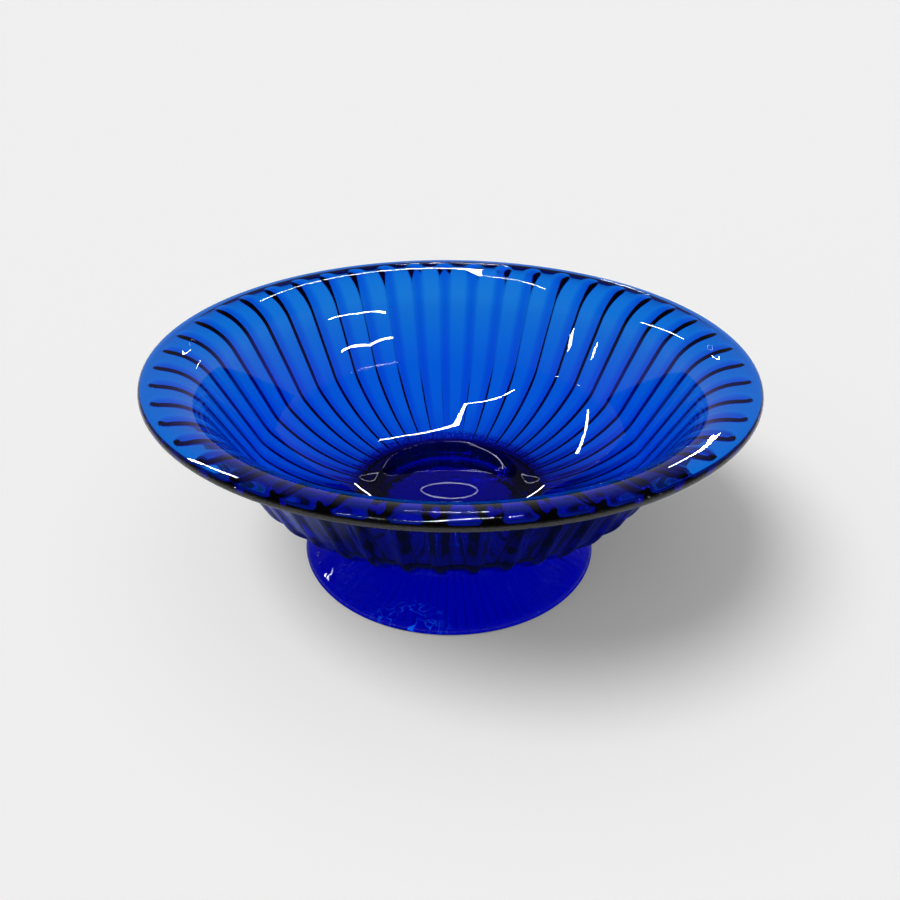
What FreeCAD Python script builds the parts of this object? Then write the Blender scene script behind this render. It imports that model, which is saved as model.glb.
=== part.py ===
"""Footed bowl of pressed cobalt glass, in three pieces: the ribbed bowl, the flared hollow foot,
and the thin wafer of glass that joins them hot. Millimetres, +Z up, and the origin is at the
centre of the ring that the foot stands on."""

import FreeCAD, Part
import Sketcher
import math
import os

# The driving sizes. Each is set once here, kept in the spreadsheet, and read from it everywhere else.
SIZES = {
    # the bowl as a whole
    "rim_radius": 127.0,  # to the outermost point of the lip
    "rim_height": 100.0,  # the top of the lip above the table
    # the foot
    "foot_radius": 69.0,
    "foot_height": 22.0,  # the table to the wafer
    "neck_radius": 42.0,  # of the foot's top, the wafer's flat faces and the bowl's collar
    "neck_curve": 12.0,  # radius of the trumpet curve between neck and skirt
    "neck_wall": 11.0,
    "hollow_curve": 20.0,  # radius of the hollow's own curve behind the neck
    "skirt_wall": 5.0,
    "edge_radius": 2.0,  # the rounded edge of the skirt
    "ceiling": 4.5,  # glass left over the hollow
    "flute_depth": 1.0,  # the flutes pressed into the underside of the skirt
    "flute_start": 3.0,  # a flute starts this far outside the neck
    "flute_end": 8.0,  # and ends this far inside the edge
    "flute_share": 0.5,  # of the pitch
    # the wafer
    "wafer_thickness": 2.5,
    # the bowl's section
    "collar_drop": 0.4,  # the collar's face below the lowest that the ribs could reach
    "floor_radius": 30.0,  # the flat floor inside
    "wall": 6.1,  # between ribs, from the floor to the knee; it thins towards the lip
    "knee_radius": 23.8,  # outside, where the dish turns up into the wall
    "knee_share": 0.767,  # the knee's centre, of the way up from the floor to the lip curve's centre
    "knee_inset": 57.3,  # the knee's centre inside the rim
    "lip_curve": 23.2,  # the rolled lip's top side
    "lip_inset": 4.5,  # the lip curve's centre inside the rim
    "lip_thickness": 4.0,
    # the ribs outside the bowl
    "rib_count": 45,
    "rib_height": 1.6,
    "rib_share": 0.5,  # of the pitch
    "rib_root": 1.0,  # how deep a rib reaches into the wall, so that the two are one glass
    "rib_end": 7.0,  # the ribs stop this far inside the rim
    "rib_turn": 4.0,  # degrees that the ribs are turned about the axis
}

# Sizes that follow from the driving ones, as formulas of the sheet.
DERIVED = {
    "collar_height": "=foot_height + wafer_thickness",
    "floor_height": "=collar_height + collar_drop + rib_height + wall",
    "lip_place": "=rim_radius - lip_inset",
    "lip_height": "=rim_height - lip_curve",
    "knee_place": "=rim_radius - knee_inset",
    "knee_rise": "=(lip_height - floor_height) * knee_share",
    "knee_height": "=floor_height + knee_rise",
    "inner_knee": "=knee_radius - wall",
    "lip_under": "=lip_curve - lip_thickness",
    # the one circle that is level at the flat floor's edge and runs smoothly into the inner knee
    "dish_radius": "=((knee_place - floor_radius)^2 + knee_rise^2 - inner_knee^2)"
    " / (2 * (knee_rise - inner_knee))",
    "dish_height": "=floor_height + dish_radius",
    "pitch": "=360 / rib_count",
    "rib_angle": "=pitch * rib_share",
    "flute_angle": "=pitch * flute_share",
    "neck_place": "=neck_radius + neck_curve",
    "edge_place": "=foot_radius - edge_radius",
    "hollow_place": "=neck_radius - neck_wall + hollow_curve",
    "ceiling_height": "=foot_height - ceiling",
}

START, END, CENTRE = 1, 2, 3  # the Sketcher's names for the points of an edge
ORIGIN = (-1, 1)  # and for a sketch's origin

doc = FreeCAD.newDocument("footed_bowl")


def make_sheet():
    """The spreadsheet: a label, a value and the value's alias on each row."""
    sheet = doc.addObject("Spreadsheet::Sheet", "Sizes")
    for row, (name, value) in enumerate({**SIZES, **DERIVED}.items(), start=1):
        sheet.set(f"A{row}", name)
        sheet.set(f"B{row}", str(value))
        sheet.setAlias(f"B{row}", name)
    doc.recompute()
    return sheet


sizes = make_sheet()


def size(name):
    """A size from the sheet, as a number."""
    return float(sizes.get(name))


SHEET = "Sizes."  # how an expression names the sheet


def rule(text):
    """The number that an expression on the sheet comes to."""
    return float(sizes.evalExpression(text))


class Outline:
    """A sketch on a body's XZ plane, where x is the distance from the axis and y the height. Edges are
    drawn where they belong, and the constraints then tie them to the sheet."""

    def __init__(self, body, name):
        self.sketch = body.newObject("Sketcher::SketchObject", name)
        plane = [f for f in body.Origin.OriginFeatures if f.Role == "XZ_Plane"][0]
        self.sketch.AttachmentSupport = (plane, [""])
        self.sketch.MapMode = "FlatFace"

    def line(self, start, end):
        a, b = (FreeCAD.Vector(*p, 0) for p in (start, end))
        return self.sketch.addGeometry(Part.LineSegment(a, b), False)

    def arc(self, centre, radius, first, last):
        """An arc that runs anticlockwise from the point at angle first to the one at angle last."""
        circle = Part.Circle(FreeCAD.Vector(*centre, 0), FreeCAD.Vector(0, 0, 1), radius)
        return self.sketch.addGeometry(Part.ArcOfCircle(circle, first, last), False)

    def meet(self, edge, point, other, other_point, smooth=False):
        kind = "Tangent" if smooth else "Coincident"
        self.sketch.addConstraint(Sketcher.Constraint(kind, edge, point, other, other_point))

    def level(self, edge):
        self.sketch.addConstraint(Sketcher.Constraint("Horizontal", edge))

    def upright(self, edge):
        self.sketch.addConstraint(Sketcher.Constraint("Vertical", edge))

    def on_axis(self, edge):
        """Puts an edge on the Z axis, from end to end."""
        for point in (START, END):
            self.sketch.addConstraint(Sketcher.Constraint("PointOnObject", edge, point, -2))

    def point(self, edge, which):
        """Where a point of an edge is."""
        found = self.sketch.getPoint(edge, which)
        return found.x, found.y

    def alongside(self, label, edge, other, rule, value):
        """Keeps a straight edge parallel to another one, at a distance that a rule gives."""
        self.sketch.addConstraint(Sketcher.Constraint("Parallel", edge, other))
        self._bound(label, Sketcher.Constraint("Distance", edge, START, other, value), rule)

    def _bound(self, label, constraint, rule):
        index = self.sketch.addConstraint(constraint)
        self.sketch.renameConstraint(index, label)
        self.sketch.setExpression(f"Constraints.{label}", rule)

    def across(self, label, edge, point, rule, value):
        """Ties a point's distance from the axis to a rule of the sheet."""
        self._bound(label, Sketcher.Constraint("DistanceX", *ORIGIN, edge, point, value), rule)

    def up(self, label, edge, point, rule, value):
        """Ties a point's height to a rule of the sheet."""
        self._bound(label, Sketcher.Constraint("DistanceY", *ORIGIN, edge, point, value), rule)

    def radius(self, label, edge, rule, value):
        self._bound(label, Sketcher.Constraint("Radius", edge, value), rule)


def polar(centre, radius, angle):
    return (centre[0] + radius * math.cos(angle), centre[1] + radius * math.sin(angle))


def crossing_tangent(low, low_radius, high, high_radius):
    """The angle of the straight line that leaves a hollow curve round low and joins a rounded one
    round high, so that the two curves bend opposite ways."""
    run, rise = high[0] - low[0], high[1] - low[1]
    return math.atan2(rise, run) + math.asin((low_radius + high_radius) / math.hypot(run, rise))


def turned(body, name, outline, angle=None, kind="PartDesign::Revolution"):
    """Turns an outline about the Z axis: all the way round, or through a named angle of the sheet
    that lies half on each side of the outline's plane."""
    feature = body.newObject(kind, name)
    feature.Profile = outline.sketch
    feature.ReferenceAxis = (outline.sketch, ["V_Axis"])
    feature.Angle = 360
    if angle:
        feature.Midplane = True
        feature.setExpression("Angle", SHEET + angle)
    return feature


def ring_of(body, name, feature):
    """Repeats a feature at every pitch round the Z axis, as often as there are ribs."""
    pattern = body.newObject("PartDesign::PolarPattern", name)
    pattern.Originals = [feature]
    axis = [f for f in body.Origin.OriginFeatures if f.Role == "Z_Axis"][0]
    pattern.Axis = (axis, [""])
    pattern.Angle = 360
    pattern.setExpression("Occurrences", SHEET + "rib_count")
    body.Tip = pattern


def new_body(label):
    body = doc.addObject("PartDesign::Body", label)
    body.Label = label
    return body


def bowl_side(outline, tag, knee, lip, first, last):
    """One side of the bowl's wall, from the dish up to the lip: the dish arc, the knee arc, the
    straight wall and the lip arc, each running smoothly into the next. All sides share the same
    three centres. knee and lip are the rules for the two radii on this side, first is the angle
    where the dish arc starts and last the angle where the lip arc ends. Returns the edges."""
    knee_radius, lip_radius = rule(knee), rule(lip)
    dish_radius = size("dish_radius") + knee_radius - size("inner_knee")
    join = math.atan2(KNEE[1] - DISH[1], KNEE[0] - DISH[0])
    slope = crossing_tangent(KNEE, knee_radius, LIP, lip_radius)
    below, above = slope - math.pi / 2, slope + math.pi / 2
    dish = outline.arc(DISH, dish_radius, first, join)
    bend = outline.arc(KNEE, knee_radius, join, below)
    wall = outline.line(polar(KNEE, knee_radius, below), polar(LIP, lip_radius, above))
    roll = outline.arc(LIP, lip_radius, last, above)
    outline.meet(dish, END, bend, START, smooth=True)
    outline.meet(bend, END, wall, START, smooth=True)
    outline.meet(wall, END, roll, END, smooth=True)
    outline.radius(f"{tag}_knee", bend, knee, knee_radius)
    outline.radius(f"{tag}_lip", roll, lip, lip_radius)
    return dish, bend, wall, roll


def make_bowl():
    """The bowl: a turned section, and the ribs outside it."""
    body = new_body("bowl")
    outline = Outline(body, "BowlSection")
    neck, collar, floor = size("neck_radius"), size("collar_height"), size("floor_height")
    outer_dish = size("dish_radius") + size("wall")
    collar_top = DISH[1] - math.sqrt(outer_dish**2 - (neck - DISH[0]) ** 2)
    start = math.atan2(collar_top - DISH[1], neck - DISH[0])
    half_lip = size("lip_thickness") / 2
    nose_angle = math.acos((size("lip_inset") - half_lip) / (size("lip_curve") - half_lip))
    nose_centre = polar(LIP, size("lip_curve") - half_lip, nose_angle)

    under = outline.line((0, collar), (neck, collar))
    side = outline.line((neck, collar), (neck, collar_top))
    outer = bowl_side(outline, "outer", SHEET + "knee_radius", SHEET + "lip_under", start, nose_angle)
    nose = outline.arc(nose_centre, half_lip, nose_angle + math.pi, nose_angle + 2 * math.pi)
    inner = bowl_side(
        outline, "inner", SHEET + "inner_knee", SHEET + "lip_curve", -math.pi / 2, nose_angle
    )
    level = outline.line((DISH[0], floor), (0, floor))
    axis = outline.line((0, floor), (0, collar))

    outline.meet(under, END, side, START)
    outline.meet(side, END, outer[0], START)
    outline.meet(outer[3], START, nose, START, smooth=True)
    outline.meet(nose, END, inner[3], START, smooth=True)
    outline.meet(inner[0], START, level, START, smooth=True)
    outline.meet(level, END, axis, START)
    outline.meet(axis, END, under, START)
    for mine, its in ((outer[0], inner[0]), (outer[1], inner[1]), (outer[3], inner[3])):
        outline.meet(mine, CENTRE, its, CENTRE)
    outline.level(under)
    outline.level(level)
    outline.upright(side)
    outline.on_axis(axis)
    outline.up("collar", under, END, SHEET + "collar_height", collar)
    outline.across("neck", under, END, SHEET + "neck_radius", neck)
    outline.up("floor", level, START, SHEET + "floor_height", floor)
    outline.across("flat_floor", inner[0], CENTRE, SHEET + "floor_radius", DISH[0])
    outline.across("knee_across", inner[1], CENTRE, SHEET + "knee_place", KNEE[0])
    outline.up("knee_up", inner[1], CENTRE, SHEET + "knee_height", KNEE[1])
    outline.across("lip_across", inner[3], CENTRE, SHEET + "lip_place", LIP[0])
    outline.up("lip_up", inner[3], CENTRE, SHEET + "lip_height", LIP[1])
    outline.across(
        "rim", nose, CENTRE, SHEET + "rim_radius - " + SHEET + "lip_thickness / 2", nose_centre[0]
    )
    turned(body, "BowlTurned", outline)
    rib = turned(body, "Rib", rib_outline(body), angle="rib_angle")
    ring_of(body, "Ribs", rib)
    body.setExpression("Placement.Rotation.Angle", SHEET + "rib_turn")
    return body


def rib_outline(body):
    """A rib's section: its crest follows the outer wall at the rib's height, from inside the
    collar to near the rim, and its root lies within the wall."""
    outline = Outline(body, "RibSection")
    start, end = size("neck_radius") - size("rib_root"), size("rim_radius") - size("rib_end")
    sides = []
    for tag, rise in (("crest", " + " + SHEET + "rib_height"), ("root", " - " + SHEET + "rib_root")):
        fall = rise.replace(" + ", " - ") if tag == "crest" else rise.replace(" - ", " + ")
        knee, lip = SHEET + "knee_radius" + rise, SHEET + "lip_under" + fall
        dish_radius = size("dish_radius") + rule(knee) - size("inner_knee")
        first = -math.acos((start - DISH[0]) / dish_radius)
        last = math.acos((end - LIP[0]) / rule(lip))
        sides.append(bowl_side(outline, tag, knee, lip, first, last))
    crest, root = sides
    ends = [
        outline.line(outline.point(crest[edge], START), outline.point(root[edge], START))
        for edge in (0, 3)
    ]
    for edge, cap in zip((0, 3), ends):
        outline.meet(cap, START, crest[edge], START)
        outline.meet(cap, END, root[edge], START)
        outline.upright(cap)
    for edge in (0, 1, 3):
        outline.meet(crest[edge], CENTRE, root[edge], CENTRE)
    outline.across("rib_start", ends[0], START, SHEET + "neck_radius - " + SHEET + "rib_root", start)
    outline.across("rib_stop", ends[1], START, SHEET + "rim_radius - " + SHEET + "rib_end", end)
    outline.across("flat_floor", crest[0], CENTRE, SHEET + "floor_radius", DISH[0])
    outline.up("dish_up", crest[0], CENTRE, SHEET + "dish_height", DISH[1])
    outline.across("knee_across", crest[1], CENTRE, SHEET + "knee_place", KNEE[0])
    outline.up("knee_up", crest[1], CENTRE, SHEET + "knee_height", KNEE[1])
    outline.across("lip_across", crest[3], CENTRE, SHEET + "lip_place", LIP[0])
    outline.up("lip_up", crest[3], CENTRE, SHEET + "lip_height", LIP[1])
    return outline


def make_wafer():
    """The wafer: a thin disc whose edge bulges where the soft glass was squeezed."""
    body = new_body("joining_wafer")
    outline = Outline(body, "WaferSection")
    neck, low, high = size("neck_radius"), size("foot_height"), size("collar_height")
    bottom = outline.line((0, low), (neck, low))
    bulge = outline.arc((neck, (low + high) / 2), (high - low) / 2, -math.pi / 2, math.pi / 2)
    top = outline.line((neck, high), (0, high))
    axis = outline.line((0, high), (0, low))
    outline.meet(bottom, END, bulge, START, smooth=True)
    outline.meet(bulge, END, top, START, smooth=True)
    outline.meet(top, END, axis, START)
    outline.meet(axis, END, bottom, START)
    outline.level(bottom)
    outline.level(top)
    outline.on_axis(axis)
    outline.across("neck", bottom, END, SHEET + "neck_radius", neck)
    outline.up("low", bottom, END, SHEET + "foot_height", low)
    outline.up("high", top, START, SHEET + "collar_height", high)
    turned(body, "WaferTurned", outline)
    return body


def skirt(outline):
    """The skirt's top side: the trumpet curve down from the neck, the straight skirt and its
    rounded edge. Returns the three edges."""
    slope = crossing_tangent(NECK, size("neck_curve"), EDGE, size("edge_radius"))
    low, high = slope + 1.5 * math.pi, slope + math.pi / 2
    curve = outline.arc(NECK, size("neck_curve"), math.pi, low)
    straight = outline.line(
        polar(NECK, size("neck_curve"), low), polar(EDGE, size("edge_radius"), high)
    )
    edge = outline.arc(EDGE, size("edge_radius"), -math.pi / 2, high)
    outline.meet(curve, END, straight, START, smooth=True)
    outline.meet(straight, END, edge, END, smooth=True)
    outline.radius("neck_curve", curve, SHEET + "neck_curve", size("neck_curve"))
    outline.radius("edge_radius", edge, SHEET + "edge_radius", size("edge_radius"))
    outline.across("neck_across", curve, CENTRE, SHEET + "neck_place", NECK[0])
    outline.up("neck_up", curve, CENTRE, SHEET + "foot_height", NECK[1])
    outline.across("edge_across", edge, CENTRE, SHEET + "edge_place", EDGE[0])
    outline.up("edge_up", edge, CENTRE, SHEET + "edge_radius", EDGE[1])
    return curve, straight, edge, slope


def make_foot():
    """The foot: a hollow trumpet that stands on a narrow ring, with flutes under its skirt."""
    body = new_body("foot")
    outline = Outline(body, "FootSection")
    high, ceiling = size("foot_height"), size("ceiling_height")
    neck, wall, bend = size("neck_radius"), size("skirt_wall"), size("hollow_curve")
    curve, straight, edge, slope = skirt(outline)
    low = slope + 1.5 * math.pi
    on_skirt = polar(EDGE, size("edge_radius") - wall, slope + math.pi / 2)
    rest = on_skirt[0] - on_skirt[1] / math.tan(slope)
    hollow_x = size("hollow_place")
    # the hollow's centre lies its own radius above the line under the skirt
    above = bend / math.cos(slope)
    hollow = (hollow_x, (hollow_x - rest) * math.tan(slope) + above)
    last = math.pi + math.asin((hollow[1] - ceiling) / bend)

    top = outline.line((0, high), (neck, high))
    ring = outline.line((EDGE[0], 0), (rest, 0))
    inside = outline.line((rest, 0), polar(hollow, bend, low))
    arch = outline.arc(hollow, bend, last, low)
    roof = outline.line(polar(hollow, bend, last), (0, ceiling))
    axis = outline.line((0, ceiling), (0, high))

    outline.meet(top, END, curve, START)
    outline.meet(edge, START, ring, START, smooth=True)
    outline.meet(ring, END, inside, START)
    outline.meet(inside, END, arch, END, smooth=True)
    outline.meet(arch, START, roof, START)
    outline.meet(roof, END, axis, START)
    outline.meet(axis, END, top, START)
    outline.level(top)
    outline.level(ring)
    outline.level(roof)
    outline.on_axis(axis)
    outline.alongside("skirt_wall", inside, straight, SHEET + "skirt_wall", wall)
    outline.up("top", top, END, SHEET + "foot_height", high)
    outline.up("roof", roof, START, SHEET + "ceiling_height", ceiling)
    outline.radius("hollow_curve", arch, SHEET + "hollow_curve", bend)
    outline.across("hollow_across", arch, CENTRE, SHEET + "hollow_place", hollow_x)
    turned(body, "FootTurned", outline)
    flute = turned(body, "Flute", flute_outline(body), "flute_angle", "PartDesign::Groove")
    ring_of(body, "Flutes", flute)
    return body


def flute_outline(body):
    """What one flute takes out of the skirt's underside: a strip along the skirt, as deep as the
    flute on the glass side and as far again into the open on the other."""
    outline = Outline(body, "FluteSection")
    curve, straight, edge, slope = skirt(outline)
    for guide in (curve, straight, edge):
        outline.sketch.toggleConstruction(guide)
    outline.up("guide_top", curve, START, SHEET + "foot_height", NECK[1])
    outline.across("guide_edge", edge, START, SHEET + "edge_place", EDGE[0])
    first = size("neck_radius") + size("flute_start")
    last = size("foot_radius") - size("flute_end")
    depth, wall = size("flute_depth"), size("skirt_wall")

    def skirt_at(x, down):
        """The height at x of the line that lies down below the skirt."""
        on_skirt = polar(EDGE, size("edge_radius") - down, slope + math.pi / 2)
        return on_skirt[1] + (x - on_skirt[0]) * math.tan(slope)

    corners = [
        (first, skirt_at(first, wall - depth)),
        (last, skirt_at(last, wall - depth)),
        (last, skirt_at(last, wall + depth)),
        (first, skirt_at(first, wall + depth)),
    ]
    lines = [outline.line(a, b) for a, b in zip(corners, corners[1:] + corners[:1])]
    for line, following in zip(lines, lines[1:] + lines[:1]):
        outline.meet(line, END, following, START)
    outline.upright(lines[1])
    outline.upright(lines[3])
    deep = SHEET + "skirt_wall - " + SHEET + "flute_depth"
    clear = SHEET + "skirt_wall + " + SHEET + "flute_depth"
    outline.alongside("deep", lines[0], straight, deep, wall - depth)
    outline.alongside("clear", lines[2], straight, clear, wall + depth)
    first_rule = SHEET + "neck_radius + " + SHEET + "flute_start"
    last_rule = SHEET + "foot_radius - " + SHEET + "flute_end"
    outline.across("flute_first", lines[0], START, first_rule, first)
    outline.across("flute_last", lines[0], END, last_rule, last)
    return outline


DISH = (size("floor_radius"), size("dish_height"))
KNEE = (size("knee_place"), size("knee_height"))
LIP = (size("lip_place"), size("lip_height"))
NECK = (size("neck_place"), size("foot_height"))
EDGE = (size("edge_place"), size("edge_radius"))

bodies = [make_bowl(), make_wafer(), make_foot()]
doc.recompute()

for thing in doc.Objects:
    if {"Invalid", "Error"} & set(thing.State):
        raise RuntimeError(f"{thing.Name} didn't build: {thing.State}")
for body in bodies:
    if body.Shape.isNull() or not body.Shape.isValid() or len(body.Shape.Solids) != 1:
        raise RuntimeError(f"{body.Label} isn't one sound solid")
plain = doc.getObject("FootTurned").Shape.Volume
if not doc.getObject("Flutes").Shape.Volume < plain:
    raise RuntimeError("the flutes cut nothing")
if not doc.getObject("Ribs").Shape.Volume > doc.getObject("BowlTurned").Shape.Volume:
    raise RuntimeError("the ribs add nothing")

os.makedirs("parts", exist_ok=True)
for body in bodies:
    body.Shape.exportStep(os.path.join("parts", body.Label + ".step"))
    box = body.Shape.optimalBoundingBox()
    print(f"{body.Label}: {box.XLength:.2f} x {box.YLength:.2f} x {box.ZLength:.2f} mm,"
          f" {body.Shape.Volume / 1000:.1f} cm3")
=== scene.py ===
# %% [markdown]
# # A footed bowl of cobalt blue glass
#
# The real bowl is three pieces of pressed glass: a ribbed bowl, a hollow foot, and a thin wafer that
# joins them. This lesson builds each piece as one surface worked out with numpy, gives it glass that
# takes its colour from its own depth, and sets it in plain studio light.

import math

import bpy
import numpy as np
from mathutils import Matrix, Vector


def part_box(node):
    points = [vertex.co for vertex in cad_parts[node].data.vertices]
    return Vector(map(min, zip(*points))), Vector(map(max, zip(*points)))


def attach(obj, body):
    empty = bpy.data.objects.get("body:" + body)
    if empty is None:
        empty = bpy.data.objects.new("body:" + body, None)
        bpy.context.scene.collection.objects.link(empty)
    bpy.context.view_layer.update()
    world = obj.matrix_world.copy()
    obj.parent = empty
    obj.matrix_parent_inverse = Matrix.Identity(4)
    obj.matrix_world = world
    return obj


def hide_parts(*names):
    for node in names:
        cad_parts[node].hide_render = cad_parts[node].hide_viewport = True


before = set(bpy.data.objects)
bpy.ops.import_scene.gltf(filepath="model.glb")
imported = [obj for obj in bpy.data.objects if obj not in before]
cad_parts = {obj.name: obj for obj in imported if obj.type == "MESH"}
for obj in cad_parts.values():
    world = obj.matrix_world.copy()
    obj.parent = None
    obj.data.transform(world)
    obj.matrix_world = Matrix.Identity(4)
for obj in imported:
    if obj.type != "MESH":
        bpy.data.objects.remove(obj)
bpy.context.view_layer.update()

# %% [markdown]
# ## Sizes
#
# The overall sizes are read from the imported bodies, so the glass fits them if the design changes. A
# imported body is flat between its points, so its radius is rounded to a tenth of a millimetre. The
# sizes of the section, such as how sharply the wall turns, can't be read from a box. They are the
# design's own, in metres.

# %% Read the overall sizes
MM = 0.001
bowl_low, bowl_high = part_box("bowl")
foot_low, foot_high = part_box("foot")
RIM_RADIUS = round(float(max(bowl_high[:2])), 4)
RIM_HEIGHT = round(float(bowl_high[2]), 4)
COLLAR_HEIGHT = float(bowl_low[2])  # the underside of the bowl, on the wafer
FOOT_RADIUS = round(float(max(foot_high[:2])), 4)
FOOT_HEIGHT = float(foot_high[2])
NECK_RADIUS = 42 * MM
RIBS = 45
print("rim", RIM_RADIUS, RIM_HEIGHT, "collar", COLLAR_HEIGHT, "foot", FOOT_RADIUS, FOOT_HEIGHT)

# %% The section of the bowl
WALL = 6.1 * MM
RIB_HEIGHT = 1.6 * MM
COLLAR_DROP = 0.4 * MM  # how far the collar reaches below the ribs
FLOOR_RADIUS = 30 * MM
FLOOR_HEIGHT = COLLAR_HEIGHT + COLLAR_DROP + RIB_HEIGHT + WALL
KNEE_RADIUS = 23.8 * MM  # outside, where the dish turns up into the wall
KNEE_INSET = 57.3 * MM  # from the rim to the middle of the knee's curve
KNEE_SHARE = 0.767  # of the way from the floor up to the middle of the lip's curve
LIP_CURVE = 23.2 * MM
LIP_INSET = 4.5 * MM
LIP_THICKNESS = 4 * MM
INNER_KNEE = KNEE_RADIUS - WALL

LIP = np.array([RIM_RADIUS - LIP_INSET, RIM_HEIGHT - LIP_CURVE])
KNEE_RISE = (LIP[1] - FLOOR_HEIGHT) * KNEE_SHARE
KNEE = np.array([RIM_RADIUS - KNEE_INSET, FLOOR_HEIGHT + KNEE_RISE])
knee_reach = KNEE[0] - FLOOR_RADIUS
# the dish is the one circle that leaves the floor level and touches the inside of the knee
DISH_RADIUS = (knee_reach**2 + KNEE_RISE**2 - INNER_KNEE**2) / (2 * (KNEE_RISE - INNER_KNEE))
DISH = np.array([FLOOR_RADIUS, FLOOR_HEIGHT + DISH_RADIUS])
print("floor at", round(FLOOR_HEIGHT, 5), "dish radius", round(float(DISH_RADIUS), 4))

# %% [markdown]
# ## Sections as rows of points
#
# A piece of pressed glass is turned about one axis, so it is drawn first as half a section: a row of
# points, each a distance from the axis and a height. Arcs and straight lines that touch smoothly
# make the row, which keeps the curves true at any fineness. A spline would be quicker to draw, but
# its curves would only be near the design's.


# %% Lines and arcs
def arc(centre, radius, first, last, count):
    """Points on a circle: the centre plus the radius times the cosine and sine of an angle that goes
    evenly from first to last."""
    angle = np.linspace(first, last, count)
    return np.array(centre) + radius * np.stack([np.cos(angle), np.sin(angle)], axis=1)


def straight(first, last, count):
    """Points that go evenly from one end to the other."""
    share = np.linspace(0, 1, count)[:, None]
    return np.array(first) * (1 - share) + np.array(last) * share


def joined(*runs):
    """Rows of points put end to end, with the point that two rows share kept once."""
    return np.concatenate([runs[0]] + [run[1:] for run in runs[1:]])


def run_along(path):
    """How far along a row each of its points is: the sum of the steps before it."""
    steps = np.linalg.norm(np.diff(path, axis=0), axis=1)
    return np.concatenate([[0], np.cumsum(steps)])


quarter = run_along(arc((0, 0), 1, 0, math.pi / 2, 20))[-1]
print("a quarter of a circle of 1 m, in 20 points, runs", round(float(quarter), 4), "m")


# %% Normals and touching lines
def profile_normals(path):
    """Unit normals of a row of points, a quarter turn clockwise from the way the row goes."""
    step = np.gradient(path, axis=0)
    normal = np.stack([step[:, 1], -step[:, 0]], axis=1)
    return normal / np.linalg.norm(normal, axis=1, keepdims=True)


def wall_angle(low, low_radius, high, high_radius):
    """The angle of the straight line that leaves one circle on its right and joins another on its
    left: the angle between the centres plus the arcsine of the radii over the distance."""
    run, rise = high - low
    return math.atan2(rise, run) + math.asin((low_radius + high_radius) / math.hypot(run, rise))


outer_slope = wall_angle(KNEE, KNEE_RADIUS, LIP, LIP_CURVE - LIP_THICKNESS)
print("the straight part of the wall stands at", round(math.degrees(outer_slope), 1), "degrees")

# %% [markdown]
# ## Turning a section
#
# Turning the row about the axis gives a grid of points, rings by azimuths. A relief, such as the
# ribs, moves each grid point along the section's normal. This could be a Screw modifier with a
# displacement, but a grid keeps one smooth surface and puts the ribs exactly where they belong.
# Azimuth 0 is the front, and it grows to the right.


# %% Turn a section about the axis
def spun(path, azimuth, relief=None):
    """Turns a row of points about the Z axis: x is the radius times the sine of the azimuth, y minus
    the radius times its cosine. relief moves each point along the row's normal."""
    radius = path[:, :1] + np.zeros((1, len(azimuth)))
    height = path[:, 1:] + np.zeros((1, len(azimuth)))
    if relief is not None:
        normal = profile_normals(path)
        radius = radius + relief * normal[:, :1]
        height = height + relief * normal[:, 1:]
    return np.stack([radius * np.sin(azimuth), -radius * np.cos(azimuth), height], axis=-1)


one_ring = spun(np.array([[1.0, 0.0]]), np.arange(4) * math.pi / 2)
print("a ring of four points:", np.round(one_ring[0]).astype(int).tolist())


# %% From rings to a mesh
MOST_TRIANGLES = 200_000  # the count that each piece's triangles are printed against


def mesh_from_rings(name, rings, first_height, last_height):
    """A closed surface from a grid of rings: each ring is joined to the next by four-sided faces, and
    the first and last rings are closed by a fan from a point on the axis at the height given."""
    count, around = rings.shape[:2]
    index = np.arange(count * around).reshape(count, around)
    nxt = np.roll(index, -1, axis=1)
    quads = np.stack([index[:-1], nxt[:-1], nxt[1:], index[1:]], axis=-1).reshape(-1, 4)
    first_pole, last_pole = count * around, count * around + 1
    points = np.concatenate([rings.reshape(-1, 3), [[0, 0, first_height], [0, 0, last_height]]])
    first_fan = np.stack([np.full(around, first_pole), nxt[0], index[0]], axis=-1)
    last_fan = np.stack([np.full(around, last_pole), index[-1], nxt[-1]], axis=-1)
    fans = np.concatenate([first_fan, last_fan])
    corners = np.concatenate([quads.ravel(), fans.ravel()])
    totals = np.concatenate([np.full(len(quads), 4), np.full(len(fans), 3)])
    starts = np.concatenate([[0], np.cumsum(totals)[:-1]])
    mesh = bpy.data.meshes.new(name)
    mesh.vertices.add(len(points))
    mesh.vertices.foreach_set("co", points.astype(np.float32).ravel())
    mesh.loops.add(len(corners))
    mesh.loops.foreach_set("vertex_index", corners.astype(np.int32))
    mesh.polygons.add(len(totals))
    mesh.polygons.foreach_set("loop_start", starts.astype(np.int32))
    mesh.polygons.foreach_set("loop_total", totals.astype(np.int32))
    mesh.update(calc_edges=True)
    mesh.validate()
    mesh.polygons.foreach_set("use_smooth", np.ones(len(totals), dtype=bool))
    piece = bpy.data.objects.new(name, mesh)
    bpy.context.scene.collection.objects.link(piece)
    print(name, "triangles", 2 * len(quads) + len(fans), "of", MOST_TRIANGLES)
    return piece


print("a piece may have", MOST_TRIANGLES, "triangles")

# %% [markdown]
# ## The ribbed bowl
#
# The bowl is pressed between a smooth plunger and a ribbed mould, so it is smooth inside and ribbed
# outside. Each rib is a rounded ridge that swells out of the dish, runs up the wall and ends in a
# half round just before the rim. Modelling 45 separate ridges would need 45 joins, so the ribs are a
# relief on the one outer surface.

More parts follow.
